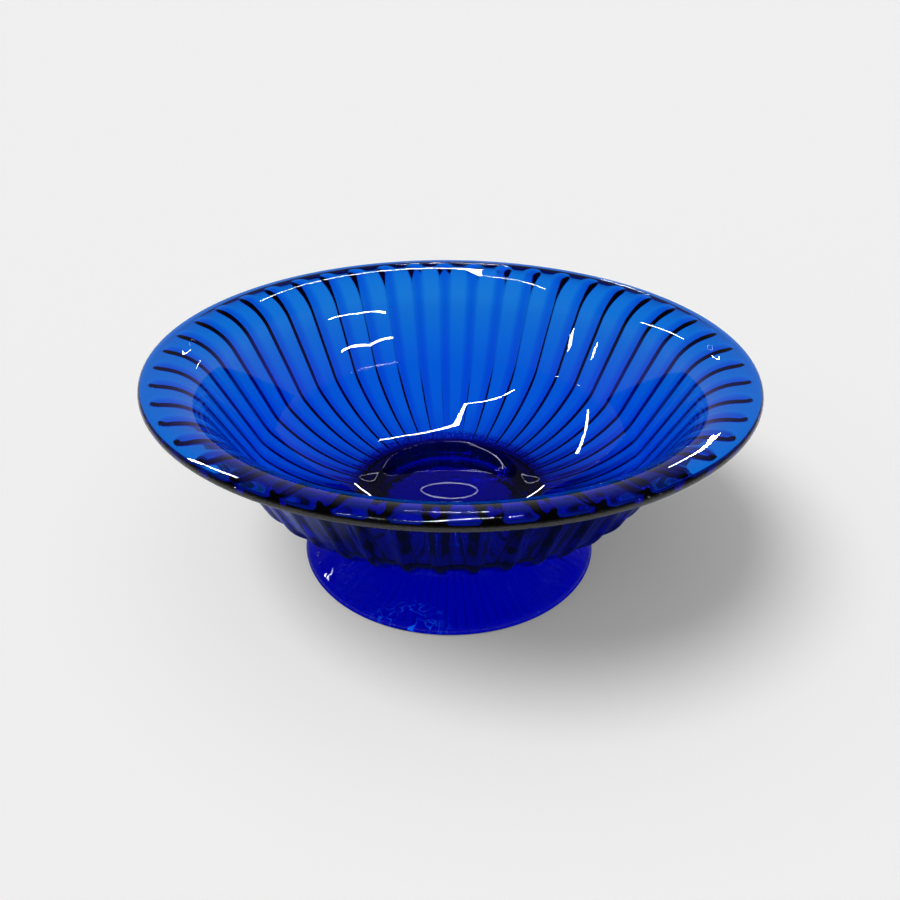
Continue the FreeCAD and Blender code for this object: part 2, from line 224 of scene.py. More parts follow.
# %% The ribs
PITCH = 2 * math.pi / RIBS
PER_PITCH = 16  # grid points from one rib to the next
RIB_PHASE = math.radians(-2)  # the rib nearest the front stands a little to the left
RIB_HALF_WIDTH = 0.27  # of the pitch
RIB_SQUARENESS = 0.6  # below 1 the ridge has a broader top
RIB_START = 0.3  # of its full height, where the rib leaves the collar
RIB_FADE = 36 * MM  # how far out the rib takes to reach its full height
RIB_END = 4.5 * MM  # from the rim
NO_WIDTH = 1e-6  # keeps the division below from meeting a zero


def rib_relief(path, azimuth, stop):
    """How far the ribs stand out: the rib's height times a raised cosine of the place across it, times
    a share that grows with the distance from the neck. Near the stop the rib narrows as a circle
    does."""
    place = (azimuth - RIB_PHASE) / PITCH
    place = np.abs(place - np.round(place))[None, :]
    half = (RIB_HALF_WIDTH * PITCH * path[:, 0])[:, None]
    to_stop = (stop - run_along(path))[:, None]
    narrowing = np.sqrt(np.clip(1 - np.clip(1 - to_stop / half, 0, 1) ** 2, 0, 1))
    across = place * PITCH * path[:, :1] / np.maximum(half * narrowing, NO_WIDTH)
    section = (0.5 + 0.5 * np.cos(math.pi * np.clip(across, 0, 1))) ** RIB_SQUARENESS
    fade = np.clip((path[:, 0] - NECK_RADIUS) / RIB_FADE, 0, 1)[:, None]
    grow = RIB_START + (1 - RIB_START) * fade
    return RIB_HEIGHT * section * np.sqrt(narrowing) * grow * (to_stop > 0)


print(RIBS, "ribs, one every", round(math.degrees(PITCH), 1), "degrees")

# %% [markdown]
# The bowl's row of points starts under the collar, goes up the outside of the wall and over the lip,
# and comes back down the inside to the floor. The outside and the inside share their centres, and
# their radii differ by the wall's thickness, so the glass is even all the way up to the lip.

# %% The bowl's surface
COLLAR_CORNER = 0.6 * MM
COLLAR_STEP = 0.8 * MM  # from the collar out to where the dish starts
FLOOR_EDGE = 0.2 * MM  # a ring this near the floor's edge keeps the floor's shading flat


def wall_side(knee_radius, lip_radius, first, last, counts):
    """One side of the wall from the dish up to the lip: an arc of the dish, the knee, a straight and
    the lip. first is the angle where the dish starts, last the angle where the lip ends."""
    join = math.atan2(*(KNEE - DISH)[::-1])
    slope = wall_angle(KNEE, knee_radius, LIP, lip_radius)
    dish = arc(DISH, DISH_RADIUS + knee_radius - INNER_KNEE, first, join, counts[0])
    knee = arc(KNEE, knee_radius, join, slope - math.pi / 2, counts[1])
    lip = arc(LIP, lip_radius, slope + math.pi / 2, last, counts[3])
    return joined(dish, knee, straight(knee[-1], lip[0], counts[2]), lip)


def make_bowl():
    """The whole surface in one row: the collar's flat underside, its corner, the outside of the wall,
    the rounded edge of the lip, the inside, and the flat floor."""
    half_lip = LIP_THICKNESS / 2
    nose_angle = math.acos((LIP_INSET - half_lip) / (LIP_CURVE - half_lip))
    nose = LIP + (LIP_CURVE - half_lip) * np.array([math.cos(nose_angle), math.sin(nose_angle)])
    start = -math.acos((NECK_RADIUS + COLLAR_STEP - DISH[0]) / (DISH_RADIUS + WALL))
    outside = wall_side(KNEE_RADIUS, LIP_CURVE - LIP_THICKNESS, start, nose_angle, (22, 14, 7, 22))
    inside = wall_side(INNER_KNEE, LIP_CURVE, -math.pi / 2, nose_angle, (26, 12, 6, 18))
    edge = arc(nose, half_lip, nose_angle - math.pi, nose_angle, 11)
    wall = joined(outside, edge, inside[::-1])
    azimuth = np.arange(RIBS * PER_PITCH) * PITCH / PER_PITCH
    relief = np.zeros((len(wall), len(azimuth)))
    stop = np.interp(RIM_RADIUS - RIB_END, outside[:, 0], run_along(outside))
    relief[: len(outside)] = rib_relief(outside, azimuth, stop)
    underside = straight((8 * MM, COLLAR_HEIGHT), (NECK_RADIUS - 2 * MM, COLLAR_HEIGHT), 3)
    corner_middle = (NECK_RADIUS - COLLAR_CORNER, COLLAR_HEIGHT + COLLAR_CORNER)
    corner = arc(corner_middle, COLLAR_CORNER, -math.pi / 2, 0, 4)
    floor = np.array([[FLOOR_RADIUS - FLOOR_EDGE, FLOOR_HEIGHT], [FLOOR_RADIUS / 2, FLOOR_HEIGHT]])
    rings = [spun(joined(underside, corner), azimuth), spun(wall, azimuth, relief), spun(floor, azimuth)]
    return mesh_from_rings("ribbed_bowl", np.concatenate(rings), COLLAR_HEIGHT, FLOOR_HEIGHT)


bowl = make_bowl()

# %% [markdown]
# ## The wafer
#
# Bowl and foot are pressed in their own moulds and joined hot by a gather of soft glass, which
# squeezes out to a thin round-edged disc. It is a turned piece too. A gap as thin as a hair is left
# above and below it, because two volumes of glass that share a face confuse the renderer.

# %% Make the wafer
GAP = 0.05 * MM
WAFER_AROUND = 180


def make_wafer():
    """A flat disc whose edge is a half circle as high as the disc is thick."""
    low, high = FOOT_HEIGHT + GAP, COLLAR_HEIGHT - GAP
    bulge = arc((NECK_RADIUS, (low + high) / 2), (high - low) / 2, -math.pi / 2, math.pi / 2, 9)
    underside = straight((10 * MM, low), (30 * MM, low), 2)
    top = straight((30 * MM, high), (10 * MM, high), 2)
    azimuth = np.arange(WAFER_AROUND) * 2 * math.pi / WAFER_AROUND
    return mesh_from_rings("glass_wafer", spun(np.concatenate([underside, bulge, top]), azimuth), low, high)


wafer = make_wafer()

# %% [markdown]
# ## The foot
#
# The foot flares from a solid neck to a skirt that is hollow underneath and stands on a narrow ring.
# Its mould leaves shallow flutes inside the hollow, which show through the glass as faint lines that
# run out from the axis. They are a relief on the hollow's side of the one closed surface.

# %% The hollow
NECK_WALL = 11 * MM  # from the neck in to the hollow
HOLLOW_CURVE = 20 * MM
SKIRT_WALL = 5 * MM
EDGE_RADIUS = 2 * MM  # the skirt's rounded edge
CEILING = 4.5 * MM  # glass above the hollow


def hollow_side(edge, slope, outward):
    """The inside of the foot from the standing ring to the middle of the hollow's roof: a straight as
    far from the skirt's outside as its wall is thick, an arch, and the level roof."""
    on_skirt = edge + (EDGE_RADIUS - SKIRT_WALL) * np.array([math.cos(outward), math.sin(outward)])
    ring_inside = on_skirt[0] - on_skirt[1] / math.tan(slope)
    arch_x = NECK_RADIUS - NECK_WALL + HOLLOW_CURVE
    arch_z = (arch_x - ring_inside) * math.tan(slope) + HOLLOW_CURVE / math.cos(slope)
    roof_height = FOOT_HEIGHT - CEILING
    roof_angle = math.pi + math.asin((arch_z - roof_height) / HOLLOW_CURVE)
    arch = arc((arch_x, arch_z), HOLLOW_CURVE, slope + 1.5 * math.pi, roof_angle, 14)
    roof = np.array([arch[-1], [20 * MM, roof_height], [10 * MM, roof_height]])
    return joined(straight((ring_inside, 0), arch[0], 14), arch, roof)


print("the hollow is", round(FOOT_HEIGHT - CEILING, 4), "m high")

# %% The flutes
FLUTE_DEPTH = 0.45 * MM
FLUTE_FADE = 4 * MM  # how far a flute takes to reach its full depth
FLUTE_START = NECK_RADIUS + 3 * MM
FLUTE_END = FOOT_RADIUS - 8 * MM
FLUTE_POINTS = 12  # grid points from one flute to the next


def flute_relief(path, azimuth):
    """How deep the flutes are cut: their depth times a raised cosine of the place across the pitch,
    faded in and out at their two ends."""
    to_end = np.minimum(path[:, 0] - FLUTE_START, FLUTE_END - path[:, 0])
    along = np.clip(to_end / FLUTE_FADE, 0, 1)
    place = azimuth / PITCH
    place = np.abs(place - np.round(place))
    section = 0.5 + 0.5 * np.cos(2 * math.pi * place)
    return -FLUTE_DEPTH * along[:, None] * section[None, :]


print("flutes from", round(FLUTE_START, 4), "to", round(FLUTE_END, 4), "m")

# %% Make the foot
NECK_CURVE = 12 * MM
NECK_LEAD = 0.05  # radians into the neck's curve, where it leaves the flat top


def make_foot():
    """The row goes from the hollow's roof down to the standing ring, round the edge, up the skirt and
    the neck's curve, and over the flat top."""
    neck = np.array([NECK_RADIUS + NECK_CURVE, FOOT_HEIGHT])
    edge = np.array([FOOT_RADIUS - EDGE_RADIUS, EDGE_RADIUS])
    slope = wall_angle(neck, NECK_CURVE, edge, EDGE_RADIUS)
    outward = slope + math.pi / 2
    top = np.array([[10 * MM, FOOT_HEIGHT], [30 * MM, FOOT_HEIGHT], [NECK_RADIUS - 0.5 * MM, FOOT_HEIGHT]])
    neck_arc = arc(neck, NECK_CURVE, math.pi + NECK_LEAD, slope + 1.5 * math.pi, 14)
    edge_arc = arc(edge, EDGE_RADIUS, outward, -math.pi / 2, 10)
    hollow = hollow_side(edge, slope, outward)
    ring = straight((edge[0], 0), hollow[0], 3)
    outside = joined(neck_arc, straight(neck_arc[-1], edge_arc[0], 10), edge_arc, ring, hollow)
    path = np.concatenate([top, outside])[::-1]
    azimuth = np.arange(RIBS * FLUTE_POINTS) * PITCH / FLUTE_POINTS
    in_hollow = (np.arange(len(path)) < len(hollow))[:, None]
    rings = spun(path, azimuth, flute_relief(path, azimuth) * in_hollow)
    return mesh_from_rings("glass_foot", rings, FOOT_HEIGHT - CEILING, FOOT_HEIGHT)


foot = make_foot()

# %% [markdown]
# ## Glass
#
# Pressed glass isn't quite flat: it chills against the mould and keeps a faint ripple, and it holds
# small seeds, which are bubbles drawn to specks. One node group gives the height of both, so every
# piece has the same surface at its own strength.


# %% Helpers for nodes
def new_node(tree, kind, sockets=None, **settings):
    """A new shader node. Settings go on the node itself, and each value in sockets on the input of
    that name or number."""
    node = tree.nodes.new(kind)
    for name, value in settings.items():
        setattr(node, name, value)
    for name, value in (sockets or {}).items():
        node.inputs[name].default_value = value
    return node


def wire(tree, *rows):
    """Joins nodes. Each row is a node, its output, the next node and its input."""
    for start, output, end, entry in rows:
        tree.links.new(start.outputs[output], end.inputs[entry])


def set_stops(ramp, stops):
    """Gives a colour ramp its stops, each a place and a colour."""
    elements = ramp.color_ramp.elements
    while len(elements) < len(stops):
        elements.new(0.5)
    for element, (where, color) in zip(elements, stops):
        element.position = where
        element.color = (*color, 1)


def new_group(name, inputs, output, output_kind):
    """A node group with the inputs given as (name, kind, value), and one output."""
    group = bpy.data.node_groups.new(name, "ShaderNodeTree")
    for label, kind, value in inputs:
        group.interface.new_socket(label, in_out="INPUT", socket_type=kind).default_value = value
    group.interface.new_socket(output, in_out="OUTPUT", socket_type=output_kind)
    return group, group.nodes.new("NodeGroupInput"), group.nodes.new("NodeGroupOutput")


print("helpers:", ", ".join(helper.__name__ for helper in (new_node, wire, set_stops, new_group)))

# %% The pressed surface
SEED_RADIUS = 0.16  # of a seed's own cell


def make_pressed_surface():
    """The height is soft noise times Ripple, plus Seeds times a cone over each cell's middle."""
    inputs = (("Ripple", 1.0), ("Ripple Scale", 60.0), ("Seeds", 0.3), ("Seed Scale", 300.0))
    inputs = [(label, "NodeSocketFloat", value) for label, value in inputs]
    group, given, out = new_group("pressed_surface", inputs, "Height", "NodeSocketFloat")
    place = new_node(group, "ShaderNodeTexCoord")
    ripple = new_node(group, "ShaderNodeTexNoise", {"Detail": 2.0})
    seed = new_node(group, "ShaderNodeTexVoronoi")
    cone = {"From Min": 0.0, "From Max": SEED_RADIUS, "To Min": 1.0, "To Max": 0.0}
    spot = new_node(group, "ShaderNodeMapRange", cone)
    low = new_node(group, "ShaderNodeMath", operation="MULTIPLY")
    high = new_node(group, "ShaderNodeMath", operation="MULTIPLY")
    total = new_node(group, "ShaderNodeMath", operation="ADD")
    wire(
        group,
        (place, "Object", ripple, "Vector"),
        (place, "Object", seed, "Vector"),
        (given, "Ripple Scale", ripple, "Scale"),
        (given, "Seed Scale", seed, "Scale"),
        (seed, "Distance", spot, "Value"),
        (ripple, "Fac", low, 0),
        (given, "Ripple", low, 1),
        (spot, "Result", high, 0),
        (given, "Seeds", high, 1),
        (low, "Value", total, 0),
        (high, "Value", total, 1),
        (total, "Value", out, "Height"),
    )
    return group


PRESSED = make_pressed_surface()
print(PRESSED.name, "inputs", [socket.name for socket in PRESSED.interface.items_tree])

# %% [markdown]
# ## Colour from depth
#
# Cobalt glass is blue because it takes up almost all red and most green on the way through, so thin
# glass is bright blue and thick glass navy. A tinted surface would give every thickness one colour.
# An absorbing volume does what the glass does.

# %% The clear glass
COBALT = (0.0, 0.70, 0.976, 1)  # the nearer to 1, the less of that colour is taken up
COBALT_DENSITY = 1100.0  # to the metre
GLASS_IOR = 1.52
GLASS_TINT = (0.9, 0.95, 1.0, 1)
BUMP_DEPTH = 0.4 * MM


def make_glass(name, ripple, ripple_scale, seeds, seed_scale):
    """Clear glass with the absorbing volume inside and the pressed surface as its bump."""
    material = bpy.data.materials.new(name)
    material.use_nodes = True
    tree = material.node_tree
    shader = tree.nodes["Principled BSDF"]
    shader.inputs["Transmission Weight"].default_value = 1.0
    shader.inputs["Roughness"].default_value = 0.0
    shader.inputs["IOR"].default_value = GLASS_IOR
    shader.inputs["Base Color"].default_value = GLASS_TINT
    volume = new_node(tree, "ShaderNodeVolumeAbsorption", {"Color": COBALT, "Density": COBALT_DENSITY})
    surface = new_node(tree, "ShaderNodeGroup", node_tree=PRESSED)
    values = {"Ripple": ripple, "Ripple Scale": ripple_scale, "Seeds": seeds, "Seed Scale": seed_scale}
    for label, value in values.items():
        surface.inputs[label].default_value = value
    bump = new_node(tree, "ShaderNodeBump", {"Strength": 1.0, "Distance": BUMP_DEPTH})
    wire(
        tree,
        (volume, "Volume", tree.nodes["Material Output"], "Volume"),
        (surface, "Height", bump, "Height"),
        (bump, "Normal", shader, "Normal"),
    )
    return material


bowl_glass = make_glass("bowl_glass", ripple=0.03, ripple_scale=45.0, seeds=0.0, seed_scale=300.0)
wafer_glass = make_glass("wafer_glass", ripple=0.6, ripple_scale=200.0, seeds=0.4, seed_scale=420.0)
foot_glass = make_glass("foot_glass", ripple=0.8, ripple_scale=110.0, seeds=0.6, seed_scale=130.0)
left = np.exp(-COBALT_DENSITY * (1 - np.array(COBALT[:3])) * WALL)
print("the wall lets through, of red, green and blue:", np.round(left, 3).tolist())

# %% [markdown]
# ## Shades of the surface
#
# Three finer marks lie on the surface, as a change of its base colour. The bowl's base colour is a
# little darker and less green in a band just under the lip, and the foot's is darker toward the table.
# Over the wafer, where two hot faces were pushed together, the glass is full of specks, and a dark
# ring of painted shade stands for the thick glass there, which lets little light through. And the
# foot's flutes bend light into fine lines that run out from the axis, painted here as lines of shade.
# They could be relief too, but a relief this fine would take far more points than the pieces have.
# Each mark takes the base colour that is there and passes it on changed.


# %% Shade by height
def recolour(material, node, entry, output):
    """Puts a node before the base colour: what fed the base colour now feeds the node's entry."""
    tree = material.node_tree
    base = tree.nodes["Principled BSDF"].inputs["Base Color"]
    node.inputs[entry].default_value = base.default_value
    if base.is_linked:
        tree.links.new(base.links[0].from_socket, node.inputs[entry])
    tree.links.new(node.outputs[output], base)


def tint_by_height(material, stops):
    """Base colour from the height above the table, by the stops given in metres."""
    tree = material.node_tree
    place = new_node(tree, "ShaderNodeTexCoord")
    split = new_node(tree, "ShaderNodeSeparateXYZ")
    ramp = new_node(tree, "ShaderNodeValToRGB")
    set_stops(ramp, stops)
    wire(
        tree,
        (place, "Object", split, "Vector"),
        (split, "Z", ramp, "Fac"),
        (ramp, "Color", tree.nodes["Principled BSDF"], "Base Color"),
    )


BOWL_SHADES = (
    (0.045, (1.0, 1.0, 1.0)),
    (0.066, (0.95, 0.94, 0.96)),
    (0.08, (0.96, 0.83, 0.9)),
    (0.09, (0.96, 0.88, 0.94)),
    (0.098, (0.98, 0.98, 0.99)),
)
FOOT_SHADES = ((0.0, (0.8, 0.85, 0.95)), (0.02, (0.95, 0.97, 1.0)))
tint_by_height(bowl_glass, BOWL_SHADES)
tint_by_height(foot_glass, FOOT_SHADES)
print("shaded by height:", bowl_glass.name, foot_glass.name)

# %% The speckled ring of painted shade
# Painted shade: the dark ring stands for the thick glass over the neck, which lets little light through.
RING_PAINTED_SHADE = (0.06, 0.02, 0.34, 1)
RING_SPECK = (0.9, 0.6, 0.9, 1)
RING_RAGGED = 4 * MM  # how far the grain moves the ring's two edges
NEW_GLASS = (1.0, 1.0, 1.0, 1)


def make_painted_shade_ring():
    """The glass's own colour, mixed with a dark, speckled painted shade where the distance from the axis,
    plus a little grain, lies between Inner and Outer. Specks are where the grain is high."""
    inputs = (
        ("Glass", "NodeSocketColor", NEW_GLASS),
        ("Inner", "NodeSocketFloat", 30 * MM),
        ("Outer", "NodeSocketFloat", 45 * MM),
    )
    group, given, out = new_group("painted_shade_ring", inputs, "Color", "NodeSocketColor")
    place = new_node(group, "ShaderNodeTexCoord")
    flat = new_node(group, "ShaderNodeVectorMath", {1: (1, 1, 0)}, operation="MULTIPLY")
    away = new_node(group, "ShaderNodeVectorMath", operation="LENGTH")
    grain = new_node(group, "ShaderNodeTexNoise", {"Scale": 1100.0, "Detail": 3.0})
    ragged = new_node(group, "ShaderNodeMath", {1: RING_RAGGED}, operation="MULTIPLY_ADD")
    begin = new_node(group, "ShaderNodeMapRange")
    stop = new_node(group, "ShaderNodeMapRange")
    speck = new_node(group, "ShaderNodeMapRange", {"From Min": 0.5, "From Max": 0.68})
    band = new_node(group, "ShaderNodeMath", operation="MULTIPLY")
    dark = new_node(group, "ShaderNodeMix", {"A": RING_PAINTED_SHADE, "B": RING_SPECK}, data_type="RGBA")
    mix = new_node(group, "ShaderNodeMix", data_type="RGBA")
    edges = (
        ("Inner", 1 * MM, begin, "From Min"),
        ("Inner", 2.5 * MM, begin, "From Max"),
        ("Outer", 4 * MM, stop, "From Min"),
        ("Outer", 1 * MM, stop, "From Max"),
    )
    for edge, beyond, fade, entry in edges:
        moved = new_node(group, "ShaderNodeMath", {1: beyond}, operation="ADD")
        wire(group, (given, edge, moved, 0), (moved, "Value", fade, entry))
    wire(
        group,
        (place, "Object", flat, 0),
        (place, "Object", grain, "Vector"),
        (flat, "Vector", away, 0),
        (grain, "Fac", ragged, 0),
        (away, "Value", ragged, 2),
        (ragged, "Value", begin, "Value"),
        (ragged, "Value", stop, "Value"),
        (begin, "Result", band, 0),
        (stop, "Result", band, 1),
        (grain, "Fac", speck, "Value"),
        (speck, "Result", dark, "Factor"),
        (band, "Value", mix, "Factor"),
        (given, "Glass", mix, "A"),
        (dark, "Result", mix, "B"),
        (mix, "Result", out, "Color"),
    )
    return group


PAINTED_SHADE_RING = make_painted_shade_ring()


def paint_shade_ring(material, inner, outer):
    """Gives a glass the speckled ring of painted shade between two distances from the axis."""
    ring = new_node(material.node_tree, "ShaderNodeGroup", node_tree=PAINTED_SHADE_RING)
    ring.inputs["Inner"].default_value = inner
    ring.inputs["Outer"].default_value = outer
    recolour(material, ring, "Glass", "Color")


paint_shade_ring(wafer_glass, 31 * MM, 43 * MM)
paint_shade_ring(bowl_glass, 30 * MM, 45 * MM)
print(PAINTED_SHADE_RING.name, "used", PAINTED_SHADE_RING.users, "times")

# %% The foot's fine lines of painted shade
# Painted shade: the lines stand for light bent by the flutes, not for a colour of the glass.
PAINTED_FLUTE_SHADE = (0.65, 0.65, 0.78, 1)
STREAKS_PER_FLUTE = 2


def paint_flute_shade_lines(material):
    """Multiplies the base colour by a painted shade where a sine of the azimuth, times grain, is high:
    lines for the light that the flutes bend.
    """
    tree = material.node_tree
    place = new_node(tree, "ShaderNodeTexCoord")
    split = new_node(tree, "ShaderNodeSeparateXYZ")
    grain = new_node(tree, "ShaderNodeTexNoise", {"Scale": 160.0})
    toward = new_node(tree, "ShaderNodeMath", operation="ARCTAN2")
    count = new_node(tree, "ShaderNodeMath", {1: STREAKS_PER_FLUTE * RIBS}, operation="MULTIPLY")
    wave = new_node(tree, "ShaderNodeMath", operation="SINE")
    uneven = new_node(tree, "ShaderNodeMath", operation="MULTIPLY")
    shade = new_node(tree, "ShaderNodeMapRange", {"From Min": 0.1, "From Max": 0.6})
    mix = new_node(tree, "ShaderNodeMix", data_type="RGBA", blend_type="MULTIPLY")
    mix.inputs["B"].default_value = PAINTED_FLUTE_SHADE
    wire(
        tree,
        (place, "Object", split, "Vector"),
        (place, "Object", grain, "Vector"),
        (split, "Y", toward, 0),
        (split, "X", toward, 1),
        (toward, "Value", count, 0),
        (count, "Value", wave, 0),
        (wave, "Value", uneven, 0),
        (grain, "Fac", uneven, 1),
        (uneven, "Value", shade, "Value"),
        (shade, "Result", mix, "Factor"),
    )
    recolour(material, mix, "A", "Result")


paint_flute_shade_lines(foot_glass)
print("lines round the foot:", STREAKS_PER_FLUTE * RIBS)

# %% [markdown]
# ## Pieces on their body
#
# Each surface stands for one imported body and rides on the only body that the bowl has, because
# nothing on it moves.

# %% Place the pieces
for piece, glass, node, slot in (
    (bowl, bowl_glass, "bowl", "bowl_glass"),
    (wafer, wafer_glass, "joining_wafer", "wafer_glass"),
    (foot, foot_glass, "foot", "foot_glass"),
):
    piece.data.materials.append(glass)
    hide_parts(node)
    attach(piece, "root")
    print(piece.name, "stands for", node)

# %% [markdown]
# ## The floor
#
# Seen directly, the floor is plain, pale and lit. Seen through the glass it needs more care: a real
# glass bowl bends blue light into its own shadow, which takes very long to trace, so that light is
# painted on the floor and only rays that come from the glass see it. It is deep blue under the foot,
# with a few bright threads, shaded around it, and pale further out.

# %% What the glass sees of the floor
SHADE_MIDDLE = (0.012, -0.03, 0)
SHADE_STOPS = (
    (0.0, (0.002, 0.003, 0.06)),
    (0.085, (0.02, 0.03, 0.16)),
    (0.105, (0.25, 0.3, 0.55)),
    (0.13, (0.66, 0.68, 0.78)),
    (0.16, (0.86, 0.86, 0.86)),
)
UNDER_FOOT = (0.004, 0.004, 0.40, 1)
THREAD = (0.16, 0.5, 1.0, 1)
THREAD_MIDDLE = (-0.018, -0.066, 0)
FOOT_MARGIN = {"From Min": FOOT_RADIUS - 3.5 * MM, "From Max": FOOT_RADIUS - 0.5 * MM}


def paint_threads(tree, place):
    """How bright the threads are: 1 on the lines where distorted noise is near one half, faded out
    with the distance from their middle."""
    noise = {"Scale": 130.0, "Detail": 2.0, "Distortion": 1.2}
    warp = new_node(tree, "ShaderNodeTexNoise", noise)
    ridge = new_node(tree, "ShaderNodeMath", {1: 0.5, 2: 0.015}, operation="COMPARE")
    near = new_node(tree, "ShaderNodeVectorMath", {1: THREAD_MIDDLE}, operation="DISTANCE")
    fade = new_node(tree, "ShaderNodeMapRange", {"From Min": 20 * MM, "From Max": 6 * MM})
    threads = new_node(tree, "ShaderNodeMath", operation="MULTIPLY")
    wire(
        tree,
        (place, "Object", warp, "Vector"),
        (place, "Object", near, 0),
        (warp, "Fac", ridge, 0),
        (near, "Value", fade, "Value"),
        (ridge, "Value", threads, 0),
        (fade, "Result", threads, 1),
    )
    return threads


def paint_light_under_glass(tree, glow):
    """The glow's colour: threads on blue within the foot's edge, and a ramp of the distance from the
    middle of the shade beyond it."""
    place = new_node(tree, "ShaderNodeTexCoord")
    away = new_node(tree, "ShaderNodeVectorMath", {1: SHADE_MIDDLE}, operation="DISTANCE")
    ramp = new_node(tree, "ShaderNodeValToRGB")
    set_stops(ramp, SHADE_STOPS)
    centre = new_node(tree, "ShaderNodeVectorMath", operation="LENGTH")
    outside = new_node(tree, "ShaderNodeMapRange", FOOT_MARGIN)
    lit = new_node(tree, "ShaderNodeMix", {"A": UNDER_FOOT, "B": THREAD}, data_type="RGBA")
    both = new_node(tree, "ShaderNodeMix", data_type="RGBA")
    wire(
        tree,
        (place, "Object", away, 0),
        (place, "Object", centre, 0),
        (away, "Value", ramp, "Fac"),
        (centre, "Value", outside, "Value"),
        (paint_threads(tree, place), "Value", lit, "Factor"),
        (outside, "Result", both, "Factor"),
        (lit, "Result", both, "A"),
        (ramp, "Color", both, "B"),
        (both, "Result", glow, "Color"),
    )


print("the floor is blue out to", round(FOOT_MARGIN["From Max"], 4), "m from the axis")

# %% Lay the floor
FLOOR_HALF = 60.0
FLOOR_PALE = (0.9, 0.9, 0.9, 1)
FLOOR_LIFT = (0.16, 0.16, 0.16, 1)  # stands for light that comes back off the room's walls


def make_floor():
    """One level square, whose material shows the lit floor to the camera and the painted one to the
    glass."""
    corners = [(-FLOOR_HALF, -FLOOR_HALF, 0), (FLOOR_HALF, -FLOOR_HALF, 0)]
    corners += [(FLOOR_HALF, FLOOR_HALF, 0), (-FLOOR_HALF, FLOOR_HALF, 0)]
    mesh = bpy.data.meshes.new("floor")
    mesh.from_pydata(corners, [], [(0, 1, 2, 3)])
    floor = bpy.data.objects.new("floor", mesh)
    bpy.context.scene.collection.objects.link(floor)
    material = bpy.data.materials.new("pale_floor")
    material.use_nodes = True
    tree = material.node_tree
    shader = tree.nodes["Principled BSDF"]
    shader.inputs["Base Color"].default_value = FLOOR_PALE
    shader.inputs["Roughness"].default_value = 1.0
    shader.inputs["Specular IOR Level"].default_value = 0.0
    glow = new_node(tree, "ShaderNodeEmission")
    paint_light_under_glass(tree, glow)
    lift = new_node(tree, "ShaderNodeEmission", {"Color": FLOOR_LIFT})
    lifted = new_node(tree, "ShaderNodeAddShader")
    path = new_node(tree, "ShaderNodeLightPath")
    pick = new_node(tree, "ShaderNodeMixShader")
    wire(
        tree,
        (shader, "BSDF", lifted, 0),
        (lift, "Emission", lifted, 1),
        (path, "Is Camera Ray", pick, "Fac"),
        (glow, "Emission", pick, 1),
        (lifted, "Shader", pick, 2),
        (pick, "Shader", tree.nodes["Material Output"], "Surface"),
    )
    mesh.materials.append(material)
    return floor


floor = make_floor()
print("floor", 2 * FLOOR_HALF, "m wide")

# %% [markdown]
# ## The room and its soft light
#
# The glass mirrors the room, so the room is dim and darker overhead than at the walls. That keeps
# the blue deep and lets only the lip catch a pale edge. Seen directly the room has the floor's own
# tone, so the far edge of the floor hardly shows. Two wide suns light the floor and cast the soft
# shadow. They aren't mirrored in the glass, because a real diffuser has no hard edge to mirror.

# %% The room
ROOM_STOPS = (  # by the upward part of the direction
    (0.0, (0.34, 0.34, 0.34)),
    (0.62, (0.02, 0.02, 0.02)),
)
ROOM_SEEN = (0.885, 0.885, 0.885, 1)


def make_room():
    """The room's colour is a ramp of the upward part of the direction, except to the camera."""
    room = bpy.data.worlds.new("room")
    room.use_nodes = True
    tree = room.node_tree
    place = new_node(tree, "ShaderNodeTexCoord")
    split = new_node(tree, "ShaderNodeSeparateXYZ")
    ramp = new_node(tree, "ShaderNodeValToRGB")
    set_stops(ramp, ROOM_STOPS)
    path = new_node(tree, "ShaderNodeLightPath")
    pick = new_node(tree, "ShaderNodeMix", {"B": ROOM_SEEN}, data_type="RGBA")
    wire(
        tree,
        (place, "Generated", split, "Vector"),
        (split, "Z", ramp, "Fac"),
        (path, "Is Camera Ray", pick, "Factor"),
        (ramp, "Color", pick, "A"),
        (pick, "Result", tree.nodes["Background"], "Color"),
    )
    bpy.context.scene.world = room


make_room()
print("the room goes from", ROOM_STOPS[0][1][0], "at the walls to", ROOM_STOPS[1][1][0], "overhead")


# %% The soft suns
def soft_sun(name, toward, strength, spread):
    """A wide sun in the direction given, turned so that it shines on the origin."""
    data = bpy.data.lights.new(name, "SUN")
    data.energy = strength
    data.angle = math.radians(spread)
    sun = bpy.data.objects.new(name, data)
    sun.location = toward
    sun.rotation_euler = (-Vector(toward)).to_track_quat("-Z", "Y").to_euler()
    sun.visible_glossy = False
    sun.visible_transmission = False
    bpy.context.scene.collection.objects.link(sun)
    print(name, "strength", strength, "spread", spread, "degrees")


soft_sun("key", (-0.5, -0.3, 1.0), 1.66, 28)
soft_sun("fill", (-0.3, -0.5, 1.0), 0.98, 110)

# %% [markdown]
# ## Thin lamps
#
# A glass bowl shows the room's lamps and window edges as thin white lines where its smooth side
# mirrors them. Each lamp here is a ribbon that hangs about 1.6 m from the bowl and is only mirrored:
# it lights nothing else. Area lamps would do too, but a ribbon can bend, and a bent lamp makes the
# bent lines that the bowl's curves show. A faint ring over the far side is a round ceiling lamp.

